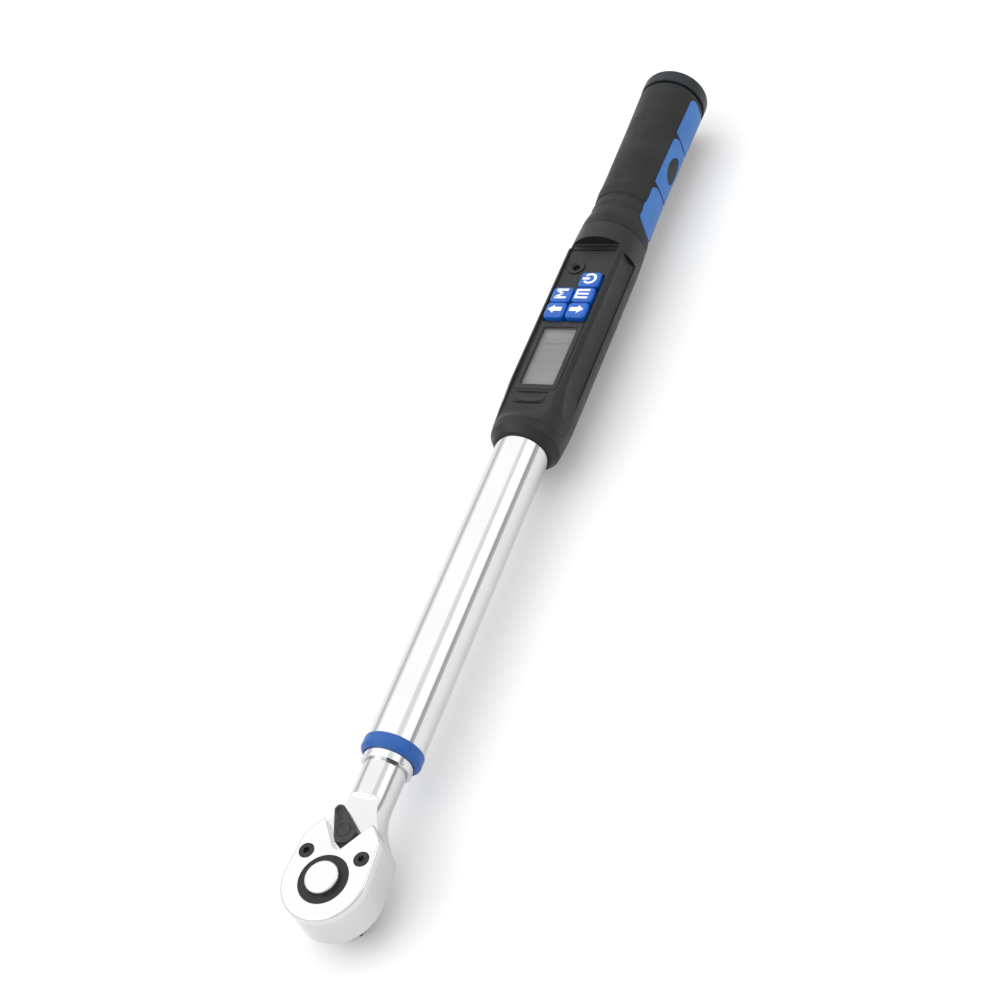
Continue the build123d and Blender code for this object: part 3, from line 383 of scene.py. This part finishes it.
HOUSING = (0.009, 0.0093, 0.0100)
HOUSING_PALE = (0.022, 0.0225, 0.0240)
LOOKS = {
    "ratchet_head": chrome("chrome_forged", 0.06, 0.05, (0.60, 0.602, 0.607)),
    "head_cover_plate": chrome("chrome_plate", 0.07, 0.02),
    "quick_release_button": chrome("chrome_button", 0.06, 0.01),
    "tube": chrome("chrome_tube", 0.045, 0.02),
    "tube_end_collar": chrome("chrome_collar", 0.06, 0.01),
    "pawl_cover": chrome("chrome_pawl_cover", 0.09, 0.01),
    "collar_key": black_oxide("key_black", (0.012, 0.012, 0.013), 0.5),
    "drive_gear": black_oxide("gear_black"),
    "lower_retaining_ring": black_oxide("ring_black"),
    "cover_screws": black_oxide("screw_black", (0.014, 0.014, 0.015), 0.4),
    "retaining_ball": ground_steel("ball_steel", (0.5, 0.5, 0.51), 0.18),
    "reversing_lever": cast_lever("lever_dark"),
    "blue_ring": ring_blue("ring_blue"),
    "lower_housing": moulded("housing_lower_black", HOUSING, HOUSING_PALE),
    "top_cover": moulded("housing_cover_black", HOUSING, HOUSING_PALE),
    "lcd_frame": moulded("bezel_black", (0.010, 0.0105, 0.013), (0.026, 0.027, 0.032), 0.28, 0.35,
                         0.006),
    "badge_plate": moulded("badge_black", (0.009, 0.009, 0.010), (0.026, 0.026, 0.03), 0.28, 0.35,
                           0.006),
    "lcd_window": lcd_glass("lcd_clear"),
    "lcd_panel": lcd_grey("lcd_grey"),
    "front_seal": rubber("seal_rubber"),
    "keypad_mat": rubber("mat_rubber"),
    "lcd_connectors": rubber("strip_rubber"),
    "cap_o_ring": rubber("o_ring_rubber"),
    "buzzer_ring": moulded("sounder_ring", (0.012, 0.012, 0.013), (0.03, 0.03, 0.032), 0.38, 0.3, 0.008),
    "grip_sleeve": soft_grip("grip_black", (0.011, 0.0113, 0.0120), (0.026, 0.0265, 0.0280)),
    "battery_cap": moulded("cap_slate", (0.006, 0.0105, 0.0120),
                           (0.017, 0.026, 0.029), 0.45, 0.4, 0.014, 0.5),
    "circuit_board": board_green("board_green"),
    "board_chips": plastic("chip_black", (0.02, 0.02, 0.02)),
    "buzzer": plastic("sounder_black", (0.012, 0.012, 0.012), 0.5),
    "battery_connector": plastic("connector_cream", (0.6, 0.56, 0.46)),
    "battery_leads": plastic("lead_red", (0.5, 0.03, 0.03)),
    "batteries": plastic("cell_sleeve", (0.06, 0.06, 0.07), 0.25),
    "battery_sleeve": plastic("liner_nylon", (0.7, 0.69, 0.65)),
    "contact_insulator": plastic("insulator_nylon", (0.7, 0.69, 0.65)),
    "tube_rear_bush": plastic("bush_nylon", (0.75, 0.74, 0.7)),
    "sensor_cable": plastic("cable_grey", (0.5, 0.5, 0.5), 0.5),
    "strain_gauges": plastic("gauge_amber", (0.6, 0.3, 0.08), 0.3),
    "front_contact": plastic("contact_brass", (0.8, 0.6, 0.28), 0.25, 1.0),
    "cap_contact_disc": plastic("disc_brass", (0.8, 0.6, 0.28), 0.25, 1.0),
}
BLUE_GRIP = soft_grip("grip_blue", (0.038, 0.145, 0.42), (0.072, 0.205, 0.52), 0.58)
KEY_BLUE = key_blue("key_blue")
STEEL = ground_steel("steel_ground")
for node, piece in frame["nodes"].items():
    if node.startswith("grip_insert"):
        look = BLUE_GRIP
    elif node.startswith("key_"):
        look = KEY_BLUE
    else:
        look = LOOKS.get(node, STEEL)
    for slot in piece.material_slots:
        slot.material = look


# ---------------------------------------------------------------- added pieces

def flat_piece(name, shapes, look, body, place):
    """Thin raised marks from outlines (lists of 2-D points in millimetres), set down by place(u, v)."""
    mesh = bmesh.new()
    for shape in shapes:
        low = [mesh.verts.new(place(u, v)) for u, v in shape]
        face = mesh.faces.new(low)
        raised = bmesh.ops.extrude_face_region(mesh, geom=[face])["geom"]
        verts = [item for item in raised if isinstance(item, bmesh.types.BMVert)]
        bmesh.ops.translate(mesh, verts=verts, vec=(0, 0, INK_THICKNESS))
    bmesh.ops.recalc_face_normals(mesh, faces=mesh.faces)
    data = bpy.data.meshes.new(name)
    mesh.to_mesh(data)
    mesh.free()
    piece = bpy.data.objects.new(name, data)
    bpy.context.scene.collection.objects.link(piece)
    data.materials.append(look)
    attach(piece, body)
    return piece


def bar(u0, v0, u1, v1, width):
    """Straight stroke."""
    along = Vector((u1 - u0, v1 - v0)).normalized() * (width / 2)
    side = Vector((-along.y, along.x))
    return [(u0 + side.x, v0 + side.y), (u0 - side.x, v0 - side.y), (u1 - side.x, v1 - side.y),
            (u1 + side.x, v1 + side.y)]


def arc(u, v, radius, width, start, end, steps=28):
    """Ring segment, angles in degrees."""
    turns = [math.radians(start + (end - start) * i / steps) for i in range(steps + 1)]
    outer, inner = ([(u + r * math.cos(a), v + r * math.sin(a)) for a in turns]
                    for r in (radius + width / 2, radius - width / 2))
    return outer + inner[::-1]


def arrow(sign):
    """Fat arrow along the wrench's width."""
    points = [(3.7, 0), (0.6, 2.6), (0.6, 1.25), (-3.5, 1.25), (-3.5, -1.25), (0.6, -1.25), (0.6, -2.6)]
    return [[(sign * u, v) for u, v in points]]


ICONS = {
    "key_up": arrow(-1),
    "key_down": arrow(1),
    "key_menu": [bar(-3.0, -2.6, 3.0, -2.6, 1.3), bar(-2.6, -2.2, 0.9, 0.1, 1.2),
                 bar(-2.6, 2.2, 0.9, -0.1, 1.2), bar(-3.0, 2.6, 3.0, 2.6, 1.3)],
    "key_unit": [bar(-3.2, -3.1, -3.2, 3.1, 1.1), bar(-2.6, -2.5, 3.1, -2.5, 1.2),
                 bar(-2.6, 0, 3.1, 0, 1.2), bar(-2.6, 2.5, 3.1, 2.5, 1.2)],
    "key_power": [arc(0.3, 0, 2.9, 1.2, -145, 145), bar(0.2, 0, -3.5, 0, 1.4)],
}


def key_marks():
    """White marks on the keys."""
    white = marking("ink_white", (0.86, 0.88, 0.92))
    for node, shapes in ICONS.items():
        low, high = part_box(node)
        middle = (low + high) / 2
        body = body_of(frame["nodes"][node])[0]
        flat_piece(node + "_mark", shapes, white, body,
                   lambda u, v: (middle.x + KEY_MARK_SCALE * v * MM, middle.y - KEY_MARK_SCALE * u * MM,
                                 high.z - INK_SINK))


def lcd_segments():
    """Ghosts of the display's segments."""
    low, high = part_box("lcd_window")
    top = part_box("lcd_panel")[1].z
    middle = (low + high) / 2
    ghost = marking("segment_ghost", (0.155, 0.160, 0.158), 0.5)
    shapes = []
    for digit in range(4):
        u = -6.3 + digit * 4.2
        for row in (0, 4.4, 8.8):
            shapes.append(bar(u - 1.2, row - 3, u + 1.2, row - 3, 0.45))
        for row in (2.2, 6.6):
            shapes.append(bar(u - 1.5, row - 4.8, u - 1.5, row - 1.2, 0.45))
            shapes.append(bar(u + 1.5, row - 4.8, u + 1.5, row - 1.2, 0.45))
    for step in range(10):
        u = -7.2 + step * 1.6
        shapes.append(bar(u, 9.4, u, 11.4, 1.0))
    shapes.append(bar(-7.8, 13.4, 7.8, 13.4, 0.25))
    shapes.append(bar(-7.8, -8.4, 7.8, -8.4, 0.25))
    flat_piece("lcd_segments", shapes, ghost, "root",
               lambda u, v: (middle.x + v * MM, middle.y - u * MM, top + 0.01 * MM))


def button_spring():
    """Copy of the button's spring, carried by the drive on a mesh of its own."""
    coil = bpy.data.objects.new("button_spring_coil", frame["nodes"]["button_spring"].data.copy())
    bpy.context.scene.collection.objects.link(coil)
    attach(coil, "drive")
    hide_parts("button_spring")
    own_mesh(coil)


key_marks()
lcd_segments()
button_spring()


# ---------------------------------------------------------------- camera, floor and light

def camera():
    data = bpy.data.cameras.new("camera")
    data.lens = CAMERA_LENS
    data.sensor_width = CAMERA_SENSOR
    data.clip_start = 0.01
    cam = bpy.data.objects.new("camera", data)
    bpy.context.scene.collection.objects.link(cam)
    forward = Vector(CAMERA_FORWARD).normalized()
    right = forward.cross(Vector(CAMERA_UP)).normalized()
    up = right.cross(forward)
    turn = Matrix((right, up, -forward)).transposed().to_4x4()
    cam.matrix_world = Matrix.Translation(CAMERA_PLACE) @ turn
    bpy.context.scene.camera = cam


def floor():
    bpy.ops.mesh.primitive_plane_add(size=12, location=(0.25, 0, cad_box[0].z - FLOOR_GAP))
    plane = bpy.context.object
    plane.name = "floor"
    plane.data.materials.append(floor_look())


def softbox(name, place, target, size, power):
    data = bpy.data.lights.new(name, "AREA")
    data.shape = "RECTANGLE"
    data.size, data.size_y = size
    data.energy = power
    lamp = bpy.data.objects.new(name, data)
    bpy.context.scene.collection.objects.link(lamp)
    lamp.location = place
    lamp.rotation_euler = (Vector(target) - Vector(place)).to_track_quat("-Z", "Y").to_euler()


def room_ramp(tree, value, stops):
    """Brightness that follows value through the stops."""
    ramp = tree.nodes.new("ShaderNodeValToRGB")
    tree.links.new(value, ramp.inputs["Fac"])
    elements = ramp.color_ramp.elements
    ordered = [stops[0], stops[-1], *stops[1:-1]]
    for number, (place, level) in enumerate(ordered):
        stop = elements[number] if number < 2 else elements.new(place)
        stop.position = place
        stop.color = (level, level, level, 1)
    return ramp.outputs["Color"]


def lights():
    """White room, dimmer near the horizon and towards -Y; its streaks draw grey lines along the chrome."""
    world = bpy.data.worlds.new("studio")
    bpy.context.scene.world = world
    world.use_nodes = True
    tree = world.node_tree
    split = tree.nodes.new("ShaderNodeSeparateXYZ")
    tree.links.new(tree.nodes.new("ShaderNodeTexCoord").outputs["Generated"], split.inputs["Vector"])
    height = room_ramp(tree, split.outputs["Z"], ROOM_BY_HEIGHT)
    side = tree.nodes.new("ShaderNodeMapRange")
    side.inputs["From Min"].default_value = -1.0
    tree.links.new(split.outputs["Y"], side.inputs["Value"])
    across = room_ramp(tree, side.outputs["Result"], ROOM_BY_SIDE)
    level = tree.nodes.new("ShaderNodeMath")
    level.operation = "MULTIPLY"
    tree.links.new(height, level.inputs[0])
    tree.links.new(across, level.inputs[1])
    room = tree.nodes["Background"]
    room.inputs["Color"].default_value = (1, 1, 1, 1)
    tree.links.new(level.outputs["Value"], room.inputs["Strength"])
    softbox("key_light", (-0.5, 0.9, 1.3), (0.25, 0, 0), (1.4, 0.9), 5)
    softbox("fill_light", (0.9, -1.1, 0.8), (0.3, 0, 0), (1.2, 0.8), 2)


camera()
floor()
lights()
bpy.context.scene.view_settings.view_transform = "Standard"
